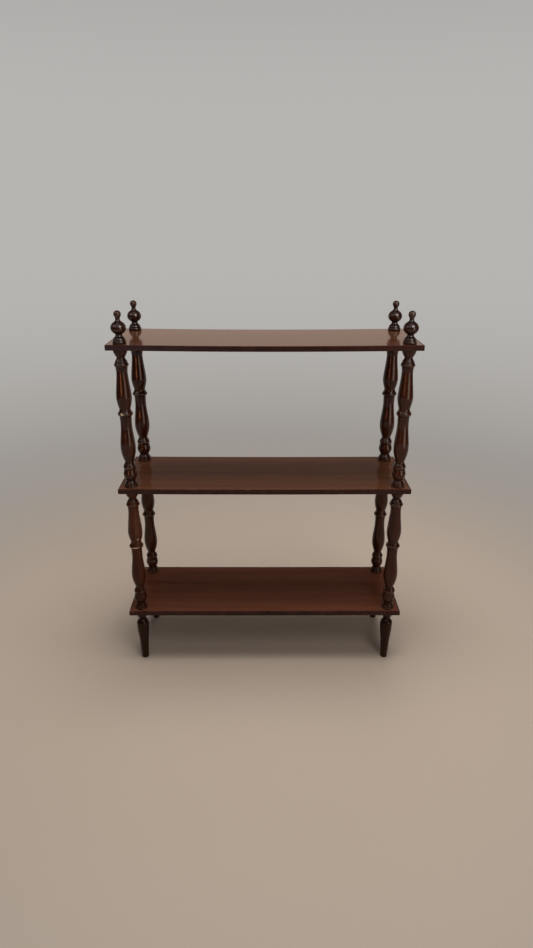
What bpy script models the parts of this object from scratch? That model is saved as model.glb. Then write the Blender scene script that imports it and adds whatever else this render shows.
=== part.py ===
"""A three-tier open bookcase: turned columns, finials and feet that clamp three lipped shelves.

Metres, +Z up, X along the shelves, the front faces -Y. The origin is on the floor, under the middle.
"""

import math
from collections import namedtuple

import bmesh
import bpy

# Shelves
SHELF_LENGTH = 0.860
SHELF_DEPTH = 0.280
SHELF_THICKNESS = 0.015
LIPPING_WIDTH = 0.004
LIPPING_CHAMFER = 0.0008

# Turned pieces, end to end
FOOT_LENGTH = 0.176
COLUMN_LENGTH = 0.4055

# Where the turned pieces stand, from the shelf's edges to their axes
INSET_FROM_END = 0.035
INSET_FROM_FRONT = 0.027

# Studs that run through a shelf and screw into the turned pieces above and below it
STUD_DIAMETER = 0.008
STUD_GRIP = 0.021

# Clearances between neighbouring pieces
SEAT_GAP = 0.0003
GLUE_GAP = 0.0003
STUD_CLEARANCE = 0.0003

# The two upper rear columns are turned a little stouter than the other six
COMMON_GIRTH = 1.0
STOUT_GIRTH = 1.07

# Facets round a turned piece, and along each curved stretch of its profile: one fewer on a short stretch,
# a single one on a tiny stretch
TURNED_SIDES = 12
STRETCH_FACETS = 3
SHORT_STRETCH = 0.0125
TINY_STRETCH = 0.005
SHARP_ANGLE = math.radians(40)
WELD_DISTANCE = 1e-6

# One stretch of a turned profile, from the bottom up: its height and the diameter it ends at.
# A stretch with no height of its own takes up what the others leave of the piece's length.
# Its curve is a line, an ease (soft at both ends), a taper (halfway between these two), a swell (soft at
# the wide end), a flare (soft at the narrow end), a bead (a quarter round) or a ball (part of a round whose
# middle is at the wide end).
Turn = namedtuple("Turn", "part rise diameter curve")

COLUMN_BASE_DIAMETER = 0.0370
COLUMN_TURNS = (
    Turn("base roll, lower half", 0.0030, 0.0398, "bead"),
    Turn("base roll, upper half", 0.0032, 0.0370, "bead"),
    Turn("base ring, lower half", 0.0027, 0.0380, "bead"),
    Turn("base ring, upper half", 0.0026, 0.0356, "bead"),
    Turn("base neck", 0.0095, 0.0264, "ease"),
    Turn("bulb", 0.0190, 0.0398, "swell"),
    Turn("bulb waist", 0.0147, 0.0342, "ease"),
    Turn("collar, cove", 0.0056, 0.0360, "flare"),
    Turn("collar, lip", 0.0034, 0.0370, "line"),
    Turn("collar, shoulder", 0.0150, 0.0256, "ease"),
    Turn("lower belly", 0.0425, 0.0434, "swell"),
    Turn("lower taper", None, 0.0322, "ease"),
    Turn("middle ring, cove", 0.0245, 0.0340, "flare"),
    Turn("middle ring, underside", 0.0022, 0.0395, "line"),
    Turn("middle ring, edge", 0.0048, 0.0430, "swell"),
    Turn("middle ring, top", 0.0024, 0.0410, "bead"),
    Turn("middle ring, shoulder", 0.0124, 0.0316, "flare"),
    Turn("upper belly", 0.0332, 0.0438, "swell"),
    Turn("upper taper", None, 0.0312, "taper"),
    Turn("top ring, cove", 0.0156, 0.0344, "flare"),
    Turn("top ring, edge", 0.0056, 0.0404, "line"),
    Turn("top ring, slope", 0.0060, 0.0348, "line"),
    Turn("cap neck", 0.0140, 0.0228, "ease"),
    Turn("cap", 0.0225, 0.0406, "swell"),
)

FINIAL_BASE_DIAMETER = 0.0360
FINIAL_TURNS = (
    Turn("base roll, lower half", 0.0038, 0.0384, "bead"),
    Turn("base roll, upper half", 0.0042, 0.0354, "bead"),
    Turn("base tier", 0.0026, 0.0338, "line"),
    Turn("base slope", 0.0116, 0.0184, "ease"),
    Turn("ball's lower cove", 0.0037, 0.0204, "flare"),
    Turn("ball, lower half", 0.0154, 0.0422, "ball"),
    Turn("ball, upper half", 0.0166, 0.0200, "ball"),
    Turn("ball's top cove", 0.0055, 0.0128, "flare"),
    Turn("upper neck", 0.0032, 0.0128, "line"),
    Turn("knob", 0.0096, 0.0202, "ease"),
    Turn("knob side", 0.0024, 0.0202, "line"),
    Turn("knob crown", 0.0089, 0.0, "bead"),
)

FOOT_BASE_DIAMETER = 0.0175
FOOT_TURNS = (
    Turn("worn edge", 0.0030, 0.0214, "bead"),
    Turn("taper", None, 0.0296, "line"),
    Turn("shoulder swell", 0.0620, 0.0384, "swell"),
    Turn("shoulder top", 0.0160, 0.0228, "swell"),
    Turn("neck", 0.0040, 0.0224, "line"),
    Turn("cap", 0.0230, 0.0396, "swell"),
)

# Base colour, roughness and metallic value of each finish
TURNED_WOOD = ("turned_mahogany", (0.040, 0.011, 0.005), 0.14, 0.0)
SHELF_WOOD = ("shelf_mahogany", (0.142, 0.053, 0.027), 0.10, 0.0)
LIPPING_WOOD = ("lipping_mahogany", (0.028, 0.009, 0.006), 0.20, 0.0)
STUD_STEEL = ("stud_steel", (0.48, 0.47, 0.45), 0.40, 1.0)

SHELVES = ("bottom", "middle", "top")
SIDES = {"left": -1, "right": 1}
DEPTHS = {"front": -1, "rear": 1}

SOCKET_DIAMETER = STUD_DIAMETER + 2 * STUD_CLEARANCE
SOCKET_DEPTH = STUD_GRIP + STUD_CLEARANCE


def clear_scene():
    for obj in list(bpy.data.objects):
        bpy.data.objects.remove(obj)


def make_finish(name, colour, roughness, metallic):
    finish = bpy.data.materials.new(name)
    finish.use_nodes = True
    shader = finish.node_tree.nodes["Principled BSDF"]
    shader.inputs["Base Color"].default_value = (*colour, 1.0)
    shader.inputs["Roughness"].default_value = roughness
    shader.inputs["Metallic"].default_value = metallic
    finish.diffuse_color = (*colour, 1.0)
    return finish


def add_object(name, mesh, finish, parent, location=(0, 0, 0)):
    if not mesh.materials:
        mesh.materials.append(finish)
    obj = bpy.data.objects.new(name, mesh)
    bpy.context.scene.collection.objects.link(obj)
    obj.parent = parent
    obj.location = location
    return obj


def mesh_of(shape, name):
    bmesh.ops.recalc_face_normals(shape, faces=shape.faces)
    mesh = bpy.data.meshes.new(name)
    shape.to_mesh(mesh)
    shape.free()
    return mesh


def curve_share(curve, t, start, end):
    """How much of a stretch's change in diameter, from start to end, is done at t of its height."""
    if curve == "line":
        return t
    eased = (1 - math.cos(math.pi * t)) / 2
    if curve == "ease":
        return eased
    if curve == "taper":
        return (t + eased) / 2
    widening = end > start
    from_narrow = t if widening else 1 - t
    if curve == "ball":
        wide, narrow = max(start, end), min(start, end)
        here = math.sqrt(wide ** 2 - (wide ** 2 - narrow ** 2) * (1 - from_narrow) ** 2)
        full = (here - narrow) / (wide - narrow)
    elif curve == "swell":
        full = math.sin(math.pi / 2 * from_narrow)
    elif curve == "flare":
        full = 1 - math.cos(math.pi / 2 * from_narrow)
    else:
        full = math.sqrt(max(0.0, 1 - (1 - from_narrow) ** 2))
    return full if widening else 1 - full


def fitted_turns(turns, length):
    """The turns with the open stretches sharing what is left of the length."""
    spare = length - sum(turn.rise or 0.0 for turn in turns)
    share = spare / sum(turn.rise is None for turn in turns)
    return [turn if turn.rise else turn._replace(rise=share) for turn in turns]


def facets_of(turn):
    if turn.curve == "line" or turn.rise < TINY_STRETCH:
        return 1
    return STRETCH_FACETS - 1 if turn.rise < SHORT_STRETCH else STRETCH_FACETS


def turned_outline(base_diameter, turns, girth=COMMON_GIRTH):
    """(radius, height) points up the outside of a turned piece."""
    outline = [(girth * base_diameter / 2, 0.0)]
    diameter, height = base_diameter, 0.0
    for turn in turns:
        steps = facets_of(turn)
        change = turn.diameter - diameter
        for step in range(1, steps + 1):
            share = curve_share(turn.curve, step / steps, diameter, turn.diameter)
            outline.append((girth * (diameter + change * share) / 2, height + turn.rise * step / steps))
        diameter, height = turn.diameter, height + turn.rise
    return outline


def socket_outline(mouth, bottom):
    """Points of a stud's blind hole, from its mouth in to the axis."""
    return [(SOCKET_DIAMETER / 2, mouth), (SOCKET_DIAMETER / 2, bottom), (0.0, bottom)]


def spin_mesh(name, outline):
    """A closed mesh turned from (radius, height) points that start and end on the axis."""
    shape = bmesh.new()
    points = [shape.verts.new((radius, 0.0, height)) for radius, height in outline]
    lines = [shape.edges.new(pair) for pair in zip(points, points[1:])]
    bmesh.ops.spin(
        shape, geom=points + lines, axis=(0, 0, 1), cent=(0, 0, 0),
        angle=math.tau, steps=TURNED_SIDES, use_merge=True,
    )
    bmesh.ops.remove_doubles(shape, verts=shape.verts, dist=WELD_DISTANCE)
    mesh = mesh_of(shape, name)
    mesh.shade_smooth()
    mesh.set_sharp_from_angle(angle=SHARP_ANGLE)
    return mesh


def column_mesh(name, girth):
    outline = turned_outline(COLUMN_BASE_DIAMETER, fitted_turns(COLUMN_TURNS, COLUMN_LENGTH), girth)
    lower_socket = socket_outline(0.0, SOCKET_DEPTH)
    upper_socket = socket_outline(COLUMN_LENGTH, COLUMN_LENGTH - SOCKET_DEPTH)
    return spin_mesh(name, lower_socket[::-1] + outline + upper_socket)


def finial_mesh(name):
    outline = turned_outline(FINIAL_BASE_DIAMETER, FINIAL_TURNS)
    return spin_mesh(name, socket_outline(0.0, SOCKET_DEPTH)[::-1] + outline)


def foot_mesh(name):
    outline = turned_outline(FOOT_BASE_DIAMETER, fitted_turns(FOOT_TURNS, FOOT_LENGTH))
    socket = socket_outline(FOOT_LENGTH, FOOT_LENGTH - SOCKET_DEPTH)
    return spin_mesh(name, [(0.0, 0.0)] + outline + socket)


def stud_mesh(name):
    half = SHELF_THICKNESS / 2 + SEAT_GAP + STUD_GRIP
    radius = STUD_DIAMETER / 2
    return spin_mesh(name, [(0.0, -half), (radius, -half), (radius, half), (0.0, half)])


def shelf_heights():
    """The height of each shelf's underside, from the floor up."""
    tier = SHELF_THICKNESS + SEAT_GAP + COLUMN_LENGTH + SEAT_GAP
    lowest = FOOT_LENGTH + SEAT_GAP
    return {shelf: lowest + tier * level for level, shelf in enumerate(SHELVES)}


def corner_places():
    """Name and axis of each of the four posts."""
    reach_x = SHELF_LENGTH / 2 - INSET_FROM_END
    reach_y = SHELF_DEPTH / 2 - INSET_FROM_FRONT
    return {
        f"{depth}_{side}": (x * reach_x, y * reach_y)
        for depth, y in DEPTHS.items()
        for side, x in SIDES.items()
    }


def stud_hole_cutter(parent):
    """Four rods through all the shelves, which cut the panels' stud holes."""
    shape = bmesh.new()
    top = max(shelf_heights().values()) + 2 * SHELF_THICKNESS
    for x, y in corner_places().values():
        rod = bmesh.ops.create_cone(
            shape, cap_ends=True, segments=TURNED_SIDES, depth=top,
            radius1=SOCKET_DIAMETER / 2, radius2=SOCKET_DIAMETER / 2,
        )
        bmesh.ops.translate(shape, vec=(x, y, top / 2), verts=rod["verts"])
    cutter = bpy.data.objects.new("stud_hole_cutter", mesh_of(shape, "stud_hole_cutter"))
    bpy.context.scene.collection.objects.link(cutter)
    cutter.parent = parent
    cutter.hide_render = True
    cutter.display_type = "WIRE"
    return cutter


def panel_mesh(name):
    """A plain board that stops short of the lippings, its underside at z = 0."""
    margin = 2 * (LIPPING_WIDTH + GLUE_GAP)
    shape = bmesh.new()
    bmesh.ops.create_cube(shape, size=1.0)
    bmesh.ops.translate(shape, vec=(0, 0, 0.5), verts=shape.verts)
    bmesh.ops.scale(
        shape, vec=(SHELF_LENGTH - margin, SHELF_DEPTH - margin, SHELF_THICKNESS), verts=shape.verts
    )
    return mesh_of(shape, name)


def lipping_mesh(name, length):
    """A mitred edge strip along X, with its outer face at y = 0 and its outer arrises taken off."""
    section = [
        (0.0, LIPPING_CHAMFER),
        (LIPPING_CHAMFER, 0.0),
        (LIPPING_WIDTH, 0.0),
        (LIPPING_WIDTH, SHELF_THICKNESS),
        (LIPPING_CHAMFER, SHELF_THICKNESS),
        (0.0, SHELF_THICKNESS - LIPPING_CHAMFER),
    ]
    half = length / 2 - GLUE_GAP
    shape = bmesh.new()
    left_end = shape.faces.new([shape.verts.new((y - half, y, z)) for y, z in section])
    right_end = shape.faces.new([shape.verts.new((half - y, y, z)) for y, z in section])
    bmesh.ops.bridge_loops(shape, edges=left_end.edges[:] + right_end.edges[:])
    return mesh_of(shape, name)


def build_shelves(parent, cutter):
    panel_finish = make_finish(*SHELF_WOOD)
    lipping_finish = make_finish(*LIPPING_WOOD)
    panel = panel_mesh("shelf_panel")
    long_strip = lipping_mesh("long_lipping", SHELF_LENGTH)
    short_strip = lipping_mesh("short_lipping", SHELF_DEPTH)
    edges = {
        "front": (long_strip, 0.0, (0.0, -SHELF_DEPTH / 2)),
        "right": (short_strip, math.radians(90), (SHELF_LENGTH / 2, 0.0)),
        "rear": (long_strip, math.radians(180), (0.0, SHELF_DEPTH / 2)),
        "left": (short_strip, math.radians(270), (-SHELF_LENGTH / 2, 0.0)),
    }
    for shelf, height in shelf_heights().items():
        board = add_object(f"{shelf}_shelf_panel", panel, panel_finish, parent, (0, 0, height))
        holes = board.modifiers.new("stud holes", "BOOLEAN")
        holes.object = cutter
        for edge, (strip, turn, (x, y)) in edges.items():
            name = f"{shelf}_shelf_lipping_{edge}"
            lipping = add_object(name, strip, lipping_finish, parent, (x, y, height))
            lipping.rotation_euler.z = turn


def build_posts(parent):
    """The feet, columns, finials and studs, post by post."""
    wood = make_finish(*TURNED_WOOD)
    steel = make_finish(*STUD_STEEL)
    foot = foot_mesh("foot")
    finial = finial_mesh("finial")
    stud = stud_mesh("stud")
    column = column_mesh("column", COMMON_GIRTH)
    stout_column = column_mesh("stout_column", STOUT_GIRTH)
    heights = shelf_heights()
    seats = {shelf: height + SHELF_THICKNESS + SEAT_GAP for shelf, height in heights.items()}
    for corner, (x, y) in corner_places().items():
        upper = stout_column if corner.startswith("rear") else column
        add_object(f"foot_{corner}", foot, wood, parent, (x, y, 0.0))
        add_object(f"lower_column_{corner}", column, wood, parent, (x, y, seats["bottom"]))
        add_object(f"upper_column_{corner}", upper, wood, parent, (x, y, seats["middle"]))
        add_object(f"finial_{corner}", finial, wood, parent, (x, y, seats["top"]))
        for shelf, height in heights.items():
            middle = height + SHELF_THICKNESS / 2
            add_object(f"{shelf}_stud_{corner}", stud, steel, parent, (x, y, middle))


def main():
    clear_scene()
    bookcase = bpy.data.objects.new("bookcase", None)
    bpy.context.scene.collection.objects.link(bookcase)
    build_shelves(bookcase, stud_hole_cutter(bookcase))
    build_posts(bookcase)


main()
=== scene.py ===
import math
import random

import bmesh
import bpy
from mathutils import Matrix, Vector, noise


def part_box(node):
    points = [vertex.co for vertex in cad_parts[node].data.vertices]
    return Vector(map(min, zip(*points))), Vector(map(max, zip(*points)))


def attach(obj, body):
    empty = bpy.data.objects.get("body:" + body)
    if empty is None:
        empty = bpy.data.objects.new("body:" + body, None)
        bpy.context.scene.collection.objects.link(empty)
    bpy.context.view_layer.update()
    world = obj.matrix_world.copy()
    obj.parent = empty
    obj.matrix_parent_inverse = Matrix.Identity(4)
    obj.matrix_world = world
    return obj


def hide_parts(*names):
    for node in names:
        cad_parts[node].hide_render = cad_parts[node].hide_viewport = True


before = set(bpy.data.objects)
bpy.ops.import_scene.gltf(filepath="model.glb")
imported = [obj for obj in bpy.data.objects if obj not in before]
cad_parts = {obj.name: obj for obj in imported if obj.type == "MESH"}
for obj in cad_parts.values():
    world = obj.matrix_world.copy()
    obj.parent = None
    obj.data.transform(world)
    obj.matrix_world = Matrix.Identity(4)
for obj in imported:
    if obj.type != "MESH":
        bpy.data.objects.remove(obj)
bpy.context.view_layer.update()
grainSeed = 23  # the same grain and unevenness on every run
draw = random.Random(grainSeed)
print("frame loaded with", len(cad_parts), "nodes")

corners = ("front_left", "front_right", "rear_left", "rear_right")
shelves = ("bottom", "middle", "top")
sides = ("front", "right", "rear", "left")


# Small helpers for objects and meshes
def addObject(name, data):
    obj = bpy.data.objects.new(name, data)
    bpy.context.collection.objects.link(obj)
    return obj


def meshFrom(bm, name):
    mesh = bpy.data.meshes.new(name)
    bm.to_mesh(mesh)
    bm.free()
    return mesh


def skin(bm, rings, sides):  # joins each ring to the next, in triangles where one is a single point
    for one, two in zip(rings, rings[1:]):
        for i in range(sides):
            j = (i + 1) % sides
            around = (one[i % len(one)], one[j % len(one)], two[j % len(two)], two[i % len(two)])
            bm.faces.new(list(dict.fromkeys(around)))


def shadeSmooth(mesh, creased):
    mesh.shade_smooth()
    mesh.set_sharp_from_angle(angle=math.radians(creased))
    return mesh


def noisePlace(span):  # where in the noise a piece lies, so that no two are alike
    return Vector((draw.random(), draw.random(), draw.random())) * span


# Camera
photoCamera = {
    "place": (-0.0007, -1.8501, 1.3471),  # metres, at standing height in front of the shelves
    "yaw": 0.197,  # degrees, towards +X
    "pitch": 21.843,  # degrees, down
    "roll": 0.089,  # degrees
    "lens": 24.13,  # millimetres
    "film": 36,  # millimetres along the picture's long side
}


def makeCamera(c):
    data = bpy.data.cameras.new("photoCamera")
    data.sensor_width = c["film"]
    data.lens = c["lens"]
    camera = addObject("photoCamera", data)
    turn = Matrix.Rotation(math.radians(-c["yaw"]), 4, "Z")
    turn @= Matrix.Rotation(math.radians(90 - c["pitch"]), 4, "X")
    turn @= Matrix.Rotation(math.radians(c["roll"]), 4, "Z")
    camera.matrix_world = Matrix.Translation(c["place"]) @ turn
    bpy.context.scene.camera = camera


makeCamera(photoCamera)
bpy.context.scene.view_settings.view_transform = "Standard"
print("camera set")


# Small helpers for node trees
def newMaterial(name):
    material = bpy.data.materials.new(name)
    material.use_nodes = True
    tree = material.node_tree
    return material, tree, tree.nodes["Principled BSDF"]


def setSockets(tree, node, sockets):
    for name, value in sockets.items():
        socket = node.inputs[name]
        if isinstance(value, bpy.types.NodeSocket):
            tree.links.new(value, socket)
        elif socket.type == "RGBA":
            socket.default_value = (*value, 1)
        else:
            socket.default_value = value


def addNode(tree, kind, sockets=None, **settings):
    node = tree.nodes.new("ShaderNode" + kind)
    for name, value in settings.items():
        setattr(node, name, value)
    setSockets(tree, node, sockets or {})
    return node


def addRamp(tree, fac, places, shades):
    ramp = addNode(tree, "ValToRGB", {"Fac": fac})
    elements = ramp.color_ramp.elements
    while len(elements) < len(places):
        elements.new(0.5)  # moved to its place below
    for element, place, shade in zip(elements, places, shades):
        element.position = place
        element.color = (*shade, 1) if isinstance(shade, tuple) else (shade, shade, shade, 1)
    return ramp.outputs["Color"]


def addMix(tree, fac, first, second, blend="MIX"):
    sockets = {0: fac, 6: first, 7: second}  # the colour sockets come after those for numbers and vectors
    return addNode(tree, "Mix", sockets, data_type="RGBA", blend_type=blend).outputs[2]


def addMath(tree, operation, first, second):
    return addNode(tree, "Math", {0: first, 1: second}, operation=operation).outputs[0]


def addVector(tree, operation, first, second):
    return addNode(tree, "VectorMath", {0: first, 1: second}, operation=operation).outputs[0]


def addNoise(tree, vector, scale, detail, roughness, distortion=0.0):
    sockets = {"Vector": vector, "Scale": scale, "Detail": detail}
    sockets.update({"Roughness": roughness, "Distortion": distortion})
    return addNode(tree, "TexNoise", sockets).outputs["Fac"]


def smoothStep(tree, value, span):
    sockets = {"Value": value, "From Min": span[0], "From Max": span[1]}
    return addNode(tree, "MapRange", sockets, interpolation_type="SMOOTHSTEP").outputs[0]


def objectCoords(tree):
    return addNode(tree, "TexCoord").outputs["Object"]


def readMark(tree, name):
    return addNode(tree, "Attribute", attribute_name=name).outputs["Fac"]


# Lacquered mahogany, for the turned pieces, the boards and their lippings
turnedFinish = {
    "dark": (0.024, 0.0060, 0.0030),
    "mid": (0.040, 0.0106, 0.0046),
    "light": (0.062, 0.0175, 0.0070),
    # the pale colour of scuffs, also laid on as painted highlight
    "worn": (0.95, 0.70, 0.44),
    "grain": (1, 1, 0.05),  # long along the turning's axis
    "figure": 55,  # how fine the broad bands are
    "rough": (0.09, 0.18),
    "peel": 0.03,  # bump strength of the brushed lacquer
}
polish = {  # the lacquer's index on the turned pieces, duller low down
    "finial": 1.5,
    "upper_column": 1.38,
    "lower_column": 1.33,
    "lower_column_front_left": 1.26,
    "foot": 1.26,
}
boardFinish = {
    "dark": (0.100, 0.0365, 0.0175),
    "mid": (0.142, 0.0530, 0.0265),
    "light": (0.185, 0.0720, 0.0375),
    "worn": (0.36, 0.16, 0.07),
    "grain": (0.03, 1, 1),  # long along the shelf
    "figure": 30,
    "ior": 1.22,
    "rough": (0.06, 0.12),
    "peel": 0.02,
}
topFinish = dict(boardFinish, ior=1.48, peel=0.05)  # the top shelf has kept the most polish
bottomFinish = dict(boardFinish, ior=1.19)  # the bottom shelf has kept the least, but is bleached the least
unbleached = (1.0, 0.89, 0.91)  # its share of the other boards' red, green and blue
for shade in ("dark", "mid", "light"):
    bottomFinish[shade] = tuple(part * share for part, share in zip(boardFinish[shade], unbleached))
lippingFinish = {
    "dark": (0.020, 0.0066, 0.0052),
    "mid": (0.030, 0.0098, 0.0076),
    "light": (0.044, 0.0140, 0.0100),
    # pale for scuffs, chips and the painted highlight along the arris
    "worn": (0.20, 0.072, 0.036),
    "grain": (0.04, 1, 1),
    "figure": 40,
    "ior": 1.24,
    "rough": (0.24, 0.36),
    "peel": 0.03,
}
woodGrain = {
    "stride": (3.1, 5.3, 1.7),  # metres through the wood, times a piece's own draw
    "figure": (4, 0.6, 0.5),  # detail, roughness and distortion of the broad light and dark bands
    "fibres": (320, 5, 0.65),  # scale, detail and roughness of the hair-fine streaks
    "pores": (1000, 1, 0.4),
    "handled": (38, 4, 0.6),  # the patches that hands have dulled
    "figureShare": 0.6,  # of the streaks, and the rest is fibres
    "stainStops": (0.32, 0.50, 0.70),  # where the dark, mid and light stain lie
    "poreStops": (0.30, 0.40),
    "poreDepth": 0.5,
    "wornStops": (0.30, 0.62),
    "wornShare": (0.55, 1.0),  # how much of the scuffing and painted highlight shows, fibre by fibre
    "wornRough": 0.5,
    "glossStops": (0.35, 0.68),
    "relief": 0.0006,  # metres
}


def woodCoords(tree, stretch):
    sockets = {0: woodGrain["stride"], "Scale": readMark(tree, "grainShift")}
    shift = addNode(tree, "VectorMath", sockets, operation="SCALE").outputs[0]
    moved = addVector(tree, "ADD", objectCoords(tree), shift)
    return addVector(tree, "MULTIPLY", moved, stretch)


def lacqueredMahogany(name, f):
    g = woodGrain
    material, tree, shader = newMaterial(name)
    coords = woodCoords(tree, f["grain"])
    figure = addNoise(tree, coords, f["figure"], *g["figure"])
    fibres = addNoise(tree, coords, *g["fibres"])
    pores = addRamp(tree, addNoise(tree, coords, *g["pores"]), g["poreStops"], (1.0, 0.0))
    pores = addMath(tree, "MULTIPLY", pores, g["poreDepth"])
    broad = addMath(tree, "MULTIPLY", figure, g["figureShare"])
    fine = addMath(tree, "MULTIPLY", fibres, 1 - g["figureShare"])
    streaks = addMath(tree, "ADD", broad, fine)
    stain = addRamp(tree, streaks, g["stainStops"], (f["dark"], f["mid"], f["light"]))
    stain = addMix(tree, pores, stain, f["dark"])
    stain = addMix(tree, 1.0, stain, readMark(tree, "toneAndShade"), "MULTIPLY")  # each piece's share of the stain, with painted shade and painted highlight laid on
    # paler and duller where scuffed, and where a painted highlight is laid on
    worn = addRamp(tree, fibres, g["wornStops"], g["wornShare"])
    worn = addMath(tree, "MULTIPLY", readMark(tree, "wearAndSheen"), worn)
    handled = addNoise(tree, objectCoords(tree), *g["handled"])
    gloss = addRamp(tree, handled, g["glossStops"], f["rough"])
    relief = addMath(tree, "SUBTRACT", fibres, pores)
    bump = addNode(tree, "Bump", {"Height": relief, "Strength": f["peel"], "Distance": g["relief"]})
    setSockets(tree, shader, {
        "Base Color": addMix(tree, worn, stain, f["worn"]),
        "Roughness": addMix(tree, worn, gloss, (g["wornRough"],) * 3),
        "IOR": f["ior"],
        "Normal": bump.outputs[0],
    })
    return material


steelFinish = {
    "shades": ((0.34, 0.33, 0.31), (0.55, 0.54, 0.51)),
    "rough": (0.30, 0.48),
    "stops": (0.3, 0.7),
    "brushed": (1, 1, 30),  # fine lines round the stud
    "lines": (60, 4, 0.55),  # scale, detail and roughness
}


def brushedSteel(f):
    material, tree, shader = newMaterial("studSteel")
    lines = addNoise(tree, addVector(tree, "MULTIPLY", objectCoords(tree), f["brushed"]), *f["lines"])
    setSockets(tree, shader, {
        "Base Color": addRamp(tree, lines, f["stops"], f["shades"]),
        "Roughness": addRamp(tree, lines, f["stops"], f["rough"]),
        "Metallic": 1,
    })
    return material


turnedWood = {}
for name, ior in polish.items():
    turnedWood[name] = lacqueredMahogany(name + "_wood", dict(turnedFinish, ior=ior))
boardWood = {
    "bottom": lacqueredMahogany("bottomMahogany", bottomFinish),
    "middle": lacqueredMahogany("boardMahogany", boardFinish),
    "top": lacqueredMahogany("topMahogany", topFinish),
}
lippingWood = lacqueredMahogany("lippingMahogany", lippingFinish)
studSteel = brushedSteel(steelFinish)
print("finishes mixed")


# Every new piece rides on the one body and stands for its node
toneAndShades = {  # share of its stain's colour that a piece shows, mostly painted shade and painted highlight
    # painted shade: the feet and lower columns darker low down, under the shelves
    "foot": 0.5,
    "lower_column": 0.92,
    # painted highlight: the front-left lower column lighter all over
    "lower_column_front_left": 1.15,
    # the finials' own darker colour
    "finial": 0.74,
    # painted shade: the lower lippings darker, and the top and bottom panels darker against the light that
    # falls on them
    "bottom_shelf_lipping": 0.8,
    "middle_shelf_lipping": 0.92,
    "top_shelf_panel": 0.6,
    "bottom_shelf_panel": 0.94,
}


def byNode(table, node, default=None):  # the entry with the longest name that the node's name begins with
    named = [name for name in table if node.startswith(name)]
    return table[max(named, key=len)] if named else default


def mark(mesh, name, values):
    mesh.attributes.new(name, "FLOAT", "POINT").data.foreach_set("value", values)


def dress(mesh, node, place, material, wearAndSheenAt, toneAndShadeAt=lambda co: 1.0):
    piece = addObject(node + "_dressed", mesh)
    piece.location = place
    mesh.materials.append(material)
    # paleness from scuffs and painted highlight, and each piece's share of its stain with painted shade and
    # highlight
    mark(mesh, "wearAndSheen", [min(1.0, wearAndSheenAt(v.co)) for v in mesh.vertices])
    mark(mesh, "toneAndShade", [byNode(toneAndShades, node, 1.0) * toneAndShadeAt(v.co) for v in mesh.vertices])
    mark(mesh, "grainShift", [draw.random()] * len(mesh.vertices))
    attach(piece, "root")
    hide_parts(node)
    return piece


# Turned pieces: each turn is (part, rise, diameter reached, curve), in millimetres from the bottom up,
# and a rise of None takes up an equal share of what is left of the length
columnTurning = {
    "base": 37.0,
    "turns": [
        ("base roll, lower", 3.0, 39.8, "bead"),
        ("base roll, upper", 3.2, 37.4, "bead"),
        ("base quirk", 0.5, 36.2, "line"),
        ("base ring, lower", 2.2, 38.0, "bead"),
        ("base ring, upper", 2.6, 35.6, "bead"),
        ("base groove", 0.6, 33.6, "line"),
        ("base neck", 8.9, 26.4, "ease"),
        ("bulb", 19.0, 39.8, "swell"),
        ("bulb waist", 13.5, 35.0, "ease"),
        ("collar groove", 1.2, 34.2, "line"),
        ("collar cove", 5.6, 36.0, "flare"),
        ("collar lip", 1.8, 37.2, "bead"),
        ("collar top", 1.6, 36.4, "bead"),
        ("collar shoulder", 15.0, 25.6, "ease"),
        ("lower belly", 42.5, 43.4, "swell"),
        ("lower taper", None, 32.2, "ease"),
        ("shaft", 4.2, 32.2, "line"),
        ("middle ring cove", 20.3, 34.0, "flare"),
        ("middle ring underside", 2.2, 39.5, "line"),
        ("middle ring edge", 4.8, 43.0, "swell"),
        ("middle ring top", 2.4, 41.0, "bead"),
        ("middle ring shoulder", 12.4, 31.6, "flare"),
        ("upper belly", 33.2, 43.8, "swell"),
        ("upper taper", None, 31.2, "taper"),
        ("top ring cove", 15.6, 34.4, "flare"),
        ("top ring underside", 1.0, 37.2, "line"),
        ("top ring edge", 4.6, 40.4, "swell"),
        ("top ring top", 2.0, 39.2, "bead"),
        ("top ring slope", 4.0, 34.8, "line"),
        ("cap neck", 14.0, 22.8, "ease"),
        ("cap", 22.5, 40.6, "swell"),
    ],
    "sockets": (True, True),
}
finialTurning = {
    "base": 36.0,
    "turns": [
        ("base roll, lower", 3.8, 38.4, "bead"),
        ("base roll, upper", 3.9, 35.4, "bead"),
        ("base groove", 0.6, 33.2, "line"),
        ("base tier", 2.3, 33.8, "bead"),
        ("base slope", 11.6, 18.4, "ease"),
        ("ball's lower cove", 3.7, 20.4, "flare"),
        ("ball, lower half", 15.4, 42.2, "ball"),
        ("ball, upper half", 16.6, 20.0, "ball"),
        ("ball's top cove", 5.5, 12.8, "flare"),
        ("upper neck", 3.2, 12.8, "line"),
        ("knob", 9.6, 20.2, "ease"),
        ("knob side", 2.4, 20.2, "line"),
        ("knob crown", None, 0.0, "bead"),
    ],
    "sockets": (True, False),
}
footTurning = {
    "base": 17.5,
    "turns": [
        ("worn tip", 3.0, 21.4, "bead"),
        ("taper", None, 29.6, "line"),
        ("shoulder swell", 62.0, 38.4, "swell"),
        ("shoulder top", 16.0, 22.8, "swell"),
        ("neck", 4.0, 22.4, "line"),
        ("cap", 23.0, 39.6, "swell"),
    ],
    "sockets": (False, True),
}
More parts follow.
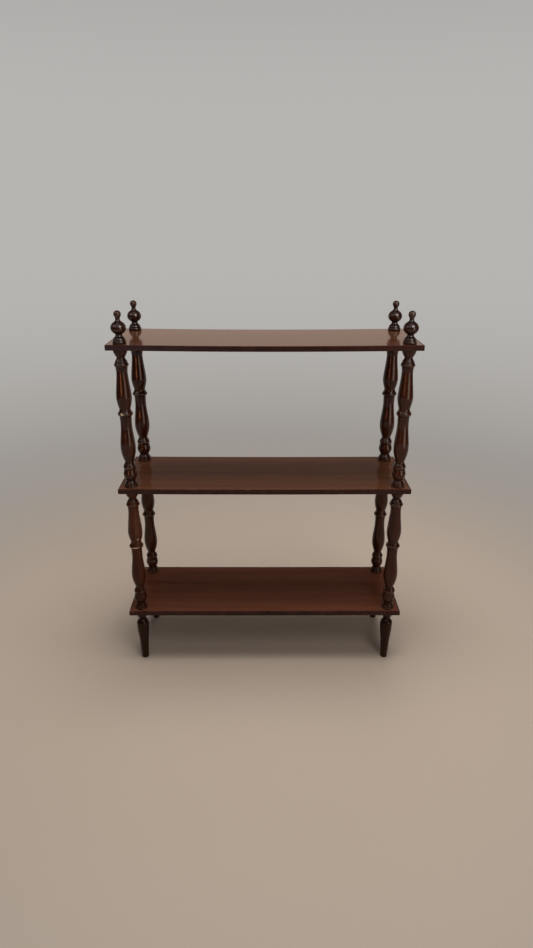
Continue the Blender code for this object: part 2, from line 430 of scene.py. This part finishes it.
lathe = {
    "sides": 56,
    "step": 2.6,  # millimetres between points of an outline
    "lineSteps": 2,  # at least, in a straight turn
    "curveSteps": 5,  # at least, in a curved one
    "arris": 0.5,  # millimetres eased off each sharp corner
    "arrisShare": 0.45,  # at most, of the stretch beside it
    "sharp": 14,  # degrees, a corner that is eased
    "bore": 8.6,  # millimetres across a stud's socket
    "grip": 21.0,  # millimetres deep
    "creased": 38,  # degrees, an edge that is shaded sharp
    "wobble": 0.00012,  # metres, the hand's unevenness
    "waves": (1.3, 40),  # how fine that is round the piece and along it
    "noiseSpan": 40,  # how far apart the pieces may lie in the noise
    "girth": {"upper_column_rear_left": 1.07, "upper_column_rear_right": 1.07},  # against the other columns
}


def grown(curve, t, start, end):  # share of the change in radius that is reached at t of the rise
    eased = (1 - math.cos(math.pi * t)) / 2
    widening = end > start
    near = t if widening else 1 - t
    if curve == "ball":  # part of a round whose middle is at the wide end
        wide, narrow = max(start, end), min(start, end)
        here = math.sqrt(wide ** 2 - (wide ** 2 - narrow ** 2) * (1 - near) ** 2)
        return (here - start) / (end - start)
    share = {
        "line": near,
        "ease": eased if widening else 1 - eased,
        "taper": (t + eased) / 2 if widening else 1 - (t + eased) / 2,  # half straight, half eased
        "swell": math.sin(math.pi / 2 * near),
        "flare": 1 - math.cos(math.pi / 2 * near),
        "bead": math.sqrt(max(0.0, 1 - (1 - near) ** 2)),
    }[curve]
    return share if widening else 1 - share


def easeCorners(points):
    most = lathe["arrisShare"]
    eased = [points[0]]
    for before, at, after in zip(points, points[1:], points[2:]):
        back, on = before - at, after - at
        if math.degrees(math.pi - back.angle(on)) < lathe["sharp"]:
            eased.append(at)
            continue
        first = at + back.normalized() * min(lathe["arris"], back.length * most)
        last = at + on.normalized() * min(lathe["arris"], on.length * most)
        eased += [first, (first + at * 2 + last) / 4, last]  # ends and middle of a small round
    return eased + [points[-1]]


def outlineOf(turning, length, girth):  # (radius, height) in millimetres, from the bottom up
    turns = turning["turns"]
    openTurns = [turn for turn in turns if turn[1] is None]
    left = length - sum(turn[1] for turn in turns if turn[1])
    radius, height = turning["base"] / 2 * girth, 0.0
    points = [Vector((radius, height))]
    for _, rise, diameter, curve in turns:
        rise = rise or left / len(openTurns)
        end = diameter / 2 * girth
        fewest = lathe["lineSteps"] if curve == "line" else lathe["curveSteps"]
        steps = max(fewest, round(rise / lathe["step"]))
        for step in range(1, steps + 1):
            t = step / steps
            if curve == "bead":  # closer points where a round turns in
                t = 1 - math.cos(math.pi / 2 * t) if end > radius else math.sin(math.pi / 2 * t)
            share = grown(curve, t, radius, end)
            points.append(Vector((radius + (end - radius) * share, height + rise * t)))
        radius, height = end, height + rise
    points = easeCorners(points)
    bore, grip = lathe["bore"] / 2, lathe["grip"]
    low, high = turning["sockets"]
    foot = [Vector((0, grip)), Vector((bore, grip)), Vector((bore, 0))] if low else [Vector((0, 0))]
    head = [Vector((bore, height)), Vector((bore, height - grip)), Vector((0, height - grip))] if high else []
    return foot + points + head


def turnedMesh(name, outline):
    bm = bmesh.new()
    rings = []
    for radius, height in outline:
        points = lathe["sides"] if radius > 0 else 1  # a single point on the axis
        angles = [math.tau * point / lathe["sides"] for point in range(points)]
        spots = [(radius * math.cos(angle), radius * math.sin(angle), height) for angle in angles]
        rings.append([bm.verts.new(Vector(spot) / 1000) for spot in spots])
    skin(bm, rings, lathe["sides"])
    bmesh.ops.recalc_face_normals(bm, faces=bm.faces)
    seed = noisePlace(lathe["noiseSpan"])
    wavesRound, wavesUp = lathe["waves"]
    for vert in bm.verts:
        out = Vector((vert.co.x, vert.co.y, 0))
        if out.length > lathe["bore"] / 1000:  # well clear of the socket
            swing = noise.noise(out.normalized() * wavesRound + Vector((0, 0, vert.co.z * wavesUp)) + seed)
            vert.co += out.normalized() * swing * lathe["wobble"]
    return shadeSmooth(meshFrom(bm, name), lathe["creased"])


# Scuffed places, and one painted highlight: height in millimetres up the piece, degrees round from the front
# towards the right, how far each reaches, and how pale it is
wornPlaces = {
    # on the front-left lower column the two small spots are scuffs, and the broad pale patch high up is a
    # painted highlight
    "lower_column_front_left": [(223.3, 4, 1.2, 22, 1.0), (251, 30, 2.4, 7, 0.7), (292, 28, 60, 24, 0.022)],
    "upper_column_front_left": [(224.4, -16, 2.0, 11, 1.0)],
    "finial_front_left": [(78, 10, 9, 90, 0.02)],
    "finial_rear_left": [(78, 10, 9, 90, 0.016)],
    "finial_front_right": [(78, -5, 9, 90, 0.04)],
    "finial_rear_right": [(82, -5, 6, 90, 0.032)],
}
# ring edges made pale: partly scuffing, partly a painted highlight along the edges
columnRings = (3.0, 62.1, 223.3, 363.0)  # millimetres up
rubbedAndSheenRings = {"lower_column": columnRings, "upper_column": columnRings, "finial": (3.8,), "foot": (2.0,)}
rubbedAndSheen = {
    "reach": 1.4,  # millimetres up and down from a ring's edge
    "pale": 0.09,
    "cover": 0.5,  # share of the edge that is made pale
    "patches": 90,  # how fine the rubbed patches are
    "noiseSpan": 20,
}


def turnedWearAndSheen(node, kind):
    spots = wornPlaces.get(node, [])
    seed = noisePlace(rubbedAndSheen["noiseSpan"])

    def wearAndSheenAt(co):
        height = co.z * 1000
        if math.hypot(co.x, co.y) < lathe["bore"] / 1000 and kind != "finial":
            return 0.0
        around = math.degrees(math.atan2(co.x, -co.y))
        patchy = max(0.0, rubbedAndSheen["cover"] + noise.noise(co * rubbedAndSheen["patches"] + seed))
        worn = sum(
            rubbedAndSheen["pale"] * patchy * math.exp(-(((height - ring) / rubbedAndSheen["reach"]) ** 2))
            for ring in rubbedAndSheenRings[kind]
        )
        for up, turn, reachUp, reachRound, pale in spots:
            off = (around - turn + 180) % 360 - 180
            worn += pale * math.exp(-(((height - up) / reachUp) ** 2) - (off / reachRound) ** 2)
        return worn

    return wearAndSheenAt


grimeAndShade = {  # painted shade, with old wax and dust, where the outline is set back from what is just above and below it
    "reach": 3.5,  # millimetres up and down
    "depth": 3.0,  # millimetres, where it is darkest
    "dark": 0.6,  # share of the colour lost there
}
paleAndShadePlaces = {  # height and reach in millimetres, and how much lighter or darker the stain is painted
    # a painted highlight over the front-left lower column's upper part, and darker towards its bottom
    "lower_column_front_left": [(300, 75, 0.6), (30, 45, -0.3)],
    # painted shade at the finials' foot, where they stand on the board; the lighter knobs are scuffed
    "finial": [(1.5, 3.0, -0.6)],
    "finial_front_left": [(1.5, 3.0, -0.6), (78, 9, 0.5)],
    "finial_rear_left": [(1.5, 3.0, -0.6), (78, 9, 0.5)],
}


def turnedToneAndShade(node, outline):
    places = byNode(paleAndShadePlaces, node, [])

    def toneAndShadeAt(co):
        height, radius = co.z * 1000, math.hypot(co.x, co.y) * 1000
        beside = [p.x for p in outline if abs(p.y - height) < grimeAndShade["reach"]]
        # painted shade in the recesses, darkest where the outline is set back furthest
        dirtyAndShaded = grimeAndShade["dark"] * min(1.0, max(0.0, max(beside, default=radius) - radius) / grimeAndShade["depth"])
        paleAndShade = sum(gain * math.exp(-(((height - up) / reach) ** 2)) for up, reach, gain in places)
        return (1 - dirtyAndShaded) * (1 + paleAndShade)

    return toneAndShadeAt


def makeTurned(kind, corner, turning):
    node = f"{kind}_{corner}"
    low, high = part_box(node)
    middle = (low + high) / 2
    outline = outlineOf(turning, (high.z - low.z) * 1000, lathe["girth"].get(node, 1.0))
    mesh = turnedMesh(node, outline)
    place = (middle.x, middle.y, low.z)
    wood = byNode(turnedWood, node)
    return dress(mesh, node, place, wood, turnedWearAndSheen(node, kind), turnedToneAndShade(node, outline))


columns, ends = [], []  # kept apart for the lamps that reach only some pieces
for corner in corners:
    ends.append(makeTurned("foot", corner, footTurning))
    columns.append(makeTurned("lower_column", corner, columnTurning))
    columns.append(makeTurned("upper_column", corner, columnTurning))
    ends.append(makeTurned("finial", corner, finialTurning))
print("turned pieces made")


# Shelf boards and their mitred lippings
shelfBoard = {
    "sag": {"bottom": 0.0006, "middle": 0.0014, "top": 0.003},  # metres at the middle of the span
    "span": 0.395,  # metres from the middle to the posts, where the board doesn't sink
    "cuts": 40,
    "hole": 0.0043,  # metres, the radius of a stud's hole
    "holeSides": 24,
    "cadJoint": 0.0003,  # metres between board and lipping in the solids
    "joint": 0.00012,  # metres of glue line left here
    "creased": 30,  # degrees, an edge that is shaded sharp
}
lippingStrip = {
    "arris": 0.0011,  # metres, the radius of the outer edges
    "arcSteps": 4,
    "cuts": 120,
    "rubbedAndSheen": 0.3,  # how pale the outer edges are made, partly scuffing, partly a painted highlight along the arris
    "rubbedAndSheenFrom": 0.80,  # share of the half thickness where that begins
    "rim": (0.985, 0.012),  # share of the half length or depth where it begins, and over which it sets in
    "cover": 0.55,  # share of the edge that is made pale
    "contrast": 0.9,
    "patches": 24,  # how fine the rubbed patches are
    "noiseSpan": 20,
    "chipsFrom": 0.7,  # share of the half thickness above which a chip shows
    "chips": {  # place along X and Y, reach in metres, how pale
        "bottom": [(-0.427, -0.137, 0.012, 0.30)],
        "middle": [(-0.050, -0.139, 0.004, 0.9)],
        "top": [],
    },
}


def sagAt(x, shelf):
    share = min(1.0, abs(x) / shelfBoard["span"])
    return -shelfBoard["sag"][shelf] * (1 - share * share)


def finishBoard(bm, name, shelf):
    for vert in bm.verts:
        vert.co.z += sagAt(vert.co.x, shelf)
    bmesh.ops.recalc_face_normals(bm, faces=bm.faces)
    return shadeSmooth(meshFrom(bm, name), shelfBoard["creased"])


def postAxes():
    for corner in corners:
        low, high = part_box("foot_" + corner)
        yield (low.x + high.x) / 2, (low.y + high.y) / 2


def drillMesh(length):
    bm = bmesh.new()
    for x, y in postAxes():
        bmesh.ops.create_cone(
            bm,
            cap_ends=True,
            segments=shelfBoard["holeSides"],
            radius1=shelfBoard["hole"],
            radius2=shelfBoard["hole"],
            depth=length,
            matrix=Matrix.Translation((x, y, 0)),
        )
    return meshFrom(bm, "drills")


def boardMesh(node, shelf):
    low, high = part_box(node)
    grow = shelfBoard["cadJoint"] - shelfBoard["joint"]
    half = Vector(((high.x - low.x) / 2 + grow, (high.y - low.y) / 2 + grow, (high.z - low.z) / 2))
    bm = bmesh.new()
    bmesh.ops.create_cube(bm, size=2, matrix=Matrix.Diagonal((*half, 1)))
    along = [e for e in bm.edges if abs(e.verts[0].co.x - e.verts[1].co.x) > half.x]
    bmesh.ops.subdivide_edges(bm, edges=along, cuts=shelfBoard["cuts"], use_grid_fill=True)
    board = addObject(node + "_blank", meshFrom(bm, node + "_blank"))
    drills = addObject(node + "_drills", drillMesh(half.z * 4))  # out past both faces
    cut = board.modifiers.new("holes", "BOOLEAN")
    cut.object = drills
    cut.operation = "DIFFERENCE"
    bpy.context.view_layer.update()
    drilled = board.evaluated_get(bpy.context.evaluated_depsgraph_get())
    bm = bmesh.new()
    bm.from_mesh(drilled.to_mesh())
    drilled.to_mesh_clear()
    for obj in (board, drills):
        bpy.data.objects.remove(obj)
    return finishBoard(bm, node, shelf)


def shelfHalf(shelf):
    low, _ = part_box(shelf + "_shelf_lipping_left")
    _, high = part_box(shelf + "_shelf_lipping_right")
    front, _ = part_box(shelf + "_shelf_lipping_front")
    _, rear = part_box(shelf + "_shelf_lipping_rear")
    return (high.x - low.x) / 2, (rear.y - front.y) / 2


def lippingSection(width, height):  # (inwards, up) round one strip, its outer edges eased
    r, steps = lippingStrip["arris"], lippingStrip["arcSteps"]
    section = [(width, height / 2), (width, -height / 2)]
    for centre, start in (((r, -height / 2 + r), 270), ((r, height / 2 - r), 180)):
        for step in range(steps + 1):
            angle = math.radians(start - 90 * step / steps)
            section.append((centre[0] + r * math.cos(angle), centre[1] + r * math.sin(angle)))
    return section


def lippingMesh(node, shelf, side):
    low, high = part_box(node)
    width = min(high.x - low.x, high.y - low.y)
    outX, outY = shelfHalf(shelf)
    section = lippingSection(width, high.z - low.z)
    sign = -1 if side in ("front", "left") else 1
    bm = bmesh.new()
    rings = []
    cuts = lippingStrip["cuts"]
    for cut in range(cuts + 1):
        t = cut / cuts * 2 - 1
        ring = []
        for inwards, up in section:  # shorter towards the board, which mitres the ends
            x, y = outX - inwards, outY - inwards
            spot = (t * x, sign * y, up) if side in ("front", "rear") else (sign * x, t * y, up)
            ring.append(bm.verts.new(spot))
        rings.append(ring)
    skin(bm, rings, len(section))
    bm.faces.new(rings[0])
    bm.faces.new(list(reversed(rings[-1])))
    return finishBoard(bm, node, shelf)


def lippingWearAndSheen(shelf):
    p = lippingStrip
    rim, rimFade = p["rim"]
    outX, outY = shelfHalf(shelf)
    low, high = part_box(shelf + "_shelf_panel")
    halfZ = (high.z - low.z) / 2
    seed = noisePlace(p["noiseSpan"])

    def wearAndSheenAt(co):
        up = abs(co.z - sagAt(co.x, shelf)) / halfZ
        out = max(abs(co.x) / outX, abs(co.y) / outY)
        onEdge = max(0.0, up - p["rubbedAndSheenFrom"]) / (1 - p["rubbedAndSheenFrom"])
        onEdge *= max(0.0, min(1.0, (out - rim) / rimFade))
        patchy = max(0.0, p["cover"] + p["contrast"] * noise.noise(co * p["patches"] + seed))
        worn = p["rubbedAndSheen"] * onEdge * patchy
        for x, y, reach, pale in p["chips"][shelf]:
            if co.z > halfZ * p["chipsFrom"]:
                worn += pale * math.exp(-((co.x - x) ** 2 + (co.y - y) ** 2) / reach ** 2)
        return worn

    return wearAndSheenAt


def makeShelf(shelf):
    panel = shelf + "_shelf_panel"
    low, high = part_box(panel)
    place = (low + high) / 2
    dress(boardMesh(panel, shelf), panel, place, boardWood[shelf], lambda co: 0.0)
    strips = []
    for side in sides:
        node = f"{shelf}_shelf_lipping_{side}"
        mesh = lippingMesh(node, shelf, side)
        strips.append(dress(mesh, node, place, lippingWood, lippingWearAndSheen(shelf)))
    return strips


lippings = []
for shelf in shelves:
    lippings += makeShelf(shelf)
print("boards and lippings made")


# Studs inside the joints keep their own solids
for shelf in shelves:
    for corner in corners:
        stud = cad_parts[f"{shelf}_stud_{corner}"]
        stud.data.materials.clear()
        stud.data.materials.append(studSteel)
print("studs finished")


# Plain pale floor and soft studio light
lampWhite = (1.0, 0.97, 0.92)
studio = {
    "horizon": (0.47, 0.46, 0.445),  # pale air low down and high up, as the camera sees it
    "upperAir": (0.33, 0.325, 0.32),
    "mirrorLow": (0.52, 0.40, 0.335),  # the same as the lacquer mirrors it, warm at a flat angle
    "mirrorHigh": (0.09, 0.09, 0.09),
    "airFade": (0.12, 0.50),  # height of a direction, over which the air turns from low to high
    "ceiling": (0.80, 0.78, 0.75),  # brighter air above and in front
    "ceilingFade": (0.75, 1.25),
    "fill": (0.115, 0.115, 0.115),  # the grey that lights the wood from all round
    "floor": (0.51, 0.418, 0.342),
    "floorRough": 0.85,
    "floorShine": 0.2,
    "floorSize": 60,  # metres
    "floorSunk": 0.0002,  # metres below the feet
    "farFloor": (0.335, 0.31, 0.285),
    "floorFade": (0.7, 2.2),  # metres from the object, where the floor turns into the grey
    "airMeets": (0.5, 0.03),  # one over metres, where that grey turns into the horizon
    "flagGrey": (0.05, 0.05, 0.05),
}
flags = {  # dark panels for the lacquer to mirror: from and to on the floor plan, lowest and highest
    "frontFlag": ((-3.0, -3.4), (3.3, -3.4), 0.2, 2.3),
    "leftFlag": ((-2.9, -3.4), (-2.9, 1.0), 0.05, 2.3),
    "rightFlag": ((3.2, -3.4), (3.2, 1.4), 0.05, 2.3),
}
lamps = {  # places and sizes in metres, beam in degrees; a lamp lights its pieces, or glints, or both
    "overheadLight": {
        "place": (0.1, -0.2, 4.4), "aim": (0, 0, 0.5), "size": (2.4, 2.0), "beam": 180,
        "watts": 130, "colour": (1.0, 0.98, 0.95), "work": "lights", "reach": "all",
    },
    "frontLight": {
        "place": (0.85, -1.8, 2.5), "aim": (0, 0, 0.7), "size": (0.9, 0.9), "beam": 180,
        "watts": 14, "colour": lampWhite, "work": "lights", "reach": "all",
    },
    "rearLight": {
        "place": (0.5, 2.6, 2.2), "aim": (0, 0, 0.6), "size": (1.8, 1.8), "beam": 180,
        "watts": 12, "colour": lampWhite, "work": "lights", "reach": "all",
    },
    "rearGlow": {
        "place": (-0.7, 2.4, 1.6), "aim": (0, 0, 0.6), "size": (1.4, 1.4), "beam": 180,
        "watts": 14, "colour": lampWhite, "work": "lights", "reach": "notBoards",
    },
    "ceilingLamp": {
        "place": (1.25, -1.8, 2.6), "aim": (0, 0, 0.7), "size": (1.5, 1.3), "beam": 180,
        "watts": 44, "colour": lampWhite, "work": "glints", "reach": "ends",
    },
    "ringLamp": {
        "place": (1.25, -1.8, 2.6), "aim": (0, 0, 0.7), "size": (1.5, 1.3), "beam": 180,
        "watts": 12, "colour": lampWhite, "work": "glints", "reach": "columns",
    },
    "coolGlow": {
        "place": (-1.0, -3.3, 0.5), "aim": (-0.3, 0, 1.03), "size": (1.1, 0.8), "beam": 180,
        "watts": 4.4, "colour": (0.4, 0.75, 1.0), "work": "glints", "reach": "lippings",
    },
    "leftLamp": {
        "place": (-2.6, -0.9, 2.5), "aim": (0, 0, 0.7), "size": (1.3, 1.3), "beam": 180,
        "watts": 9, "colour": lampWhite, "work": "both", "reach": "notBoards",
    },
    "windowLight": {
        "place": (2.14, -2.35, 0.85), "aim": (0.4, 0, 0.75), "size": (1.75, 1.7), "beam": 60,
        "watts": 3.4, "colour": (1.0, 0.77, 0.59), "work": "both", "reach": "notBoards",
    },
    "warmLamp": {
        "place": (-1.30, -2.42, 0.80), "aim": (-0.4, 0, 0.8), "size": (0.8, 0.4), "beam": 60,
        "watts": 0.6, "colour": (1.0, 0.35, 0.16), "work": "glints", "reach": "columns",
    },
}


def makeFloor():
    bm = bmesh.new()
    bmesh.ops.create_grid(bm, x_segments=1, y_segments=1, size=studio["floorSize"] / 2)
    floor = addObject("floor", meshFrom(bm, "floor"))
    floor.location.z = -studio["floorSunk"]
    material, tree, shader = newMaterial("paleFloor")
    setSockets(tree, shader, {
        "Base Color": studio["floor"],
        "Roughness": studio["floorRough"],
        "Specular IOR Level": studio["floorShine"],
    })
    away = addNode(tree, "VectorMath", {0: objectCoords(tree)}, operation="LENGTH").outputs["Value"]
    far = smoothStep(tree, away, studio["floorFade"])
    meets = smoothStep(tree, addMath(tree, "DIVIDE", 1.0, away), studio["airMeets"])
    glow = addNode(tree, "Emission", {"Color": addMix(tree, meets, studio["farFloor"], studio["horizon"])})
    mix = addNode(tree, "MixShader", {0: far, 1: shader.outputs[0], 2: glow.outputs[0]})
    tree.links.new(mix.outputs[0], tree.nodes["Material Output"].inputs["Surface"])
    floor.data.materials.append(material)


def makeFlag(name, start, end, low, high):
    mesh = bpy.data.meshes.new(name)
    mesh.from_pydata([(*start, low), (*end, low), (*end, high), (*start, high)], [], [(0, 1, 2, 3)])
    material, tree, shader = newMaterial(name)
    setSockets(tree, shader, {"Base Color": studio["flagGrey"], "Roughness": 1.0})
    mesh.materials.append(material)
    flag = addObject(name, mesh)
    flag.visible_camera = flag.visible_diffuse = flag.visible_shadow = False  # only the lacquer sees it


def makeLamp(name, p):
    data = bpy.data.lights.new(name, "AREA")
    data.shape = "RECTANGLE"
    data.size, data.size_y = p["size"]
    data.spread = math.radians(p["beam"])
    data.energy = p["watts"]
    data.color = p["colour"]
    lamp = addObject(name, data)
    lamp.location = p["place"]
    lamp.rotation_euler = (Vector(p["aim"]) - Vector(p["place"])).to_track_quat("-Z", "Y").to_euler()
    lamp.visible_camera = False
    lamp.visible_diffuse = p["work"] in ("lights", "both")
    lamp.visible_glossy = p["work"] in ("glints", "both")
    lamp.light_linking.receiver_collection = reached[p["reach"]]


def makeAir():
    world = bpy.data.worlds.new("studio")
    world.use_nodes = True
    sky = world.node_tree
    path = addNode(sky, "LightPath").outputs
    seen = addMath(sky, "MAXIMUM", path["Is Camera Ray"], path["Is Glossy Ray"])
    seen = addMath(sky, "MAXIMUM", seen, path["Is Transmission Ray"])
    way = addNode(sky, "SeparateXYZ", {0: addNode(sky, "TexCoord").outputs["Generated"]}).outputs
    fade = smoothStep(sky, way["Z"], studio["airFade"])
    mirrored = addMix(sky, fade, studio["mirrorLow"], studio["mirrorHigh"])
    above = smoothStep(sky, addMath(sky, "SUBTRACT", way["Z"], way["Y"]), studio["ceilingFade"])
    mirrored = addMix(sky, above, mirrored, studio["ceiling"])
    pale = addMix(sky, fade, studio["horizon"], studio["upperAir"])
    air = addMix(sky, path["Is Camera Ray"], mirrored, pale)
    setSockets(sky, sky.nodes["Background"], {"Color": addMix(sky, seen, studio["fill"], air)})
    bpy.context.scene.world = world


def collectionOf(name, pieces):
    collection = bpy.data.collections.new(name)
    for piece in pieces:
        collection.objects.link(piece)
    return collection


reached = {  # no lamp that is mirrored reaches the boards, which would show it as a white patch from behind
    "all": None,
    "notBoards": collectionOf("notBoards", columns + ends + lippings),
    "ends": collectionOf("ends", ends),
    "lippings": collectionOf("lippings", lippings),
    "columns": collectionOf("columns", columns),
}
makeFloor()
for name, lamp in lamps.items():
    makeLamp(name, lamp)
for name, flag in flags.items():
    makeFlag(name, *flag)
makeAir()
print("floor and lights set")
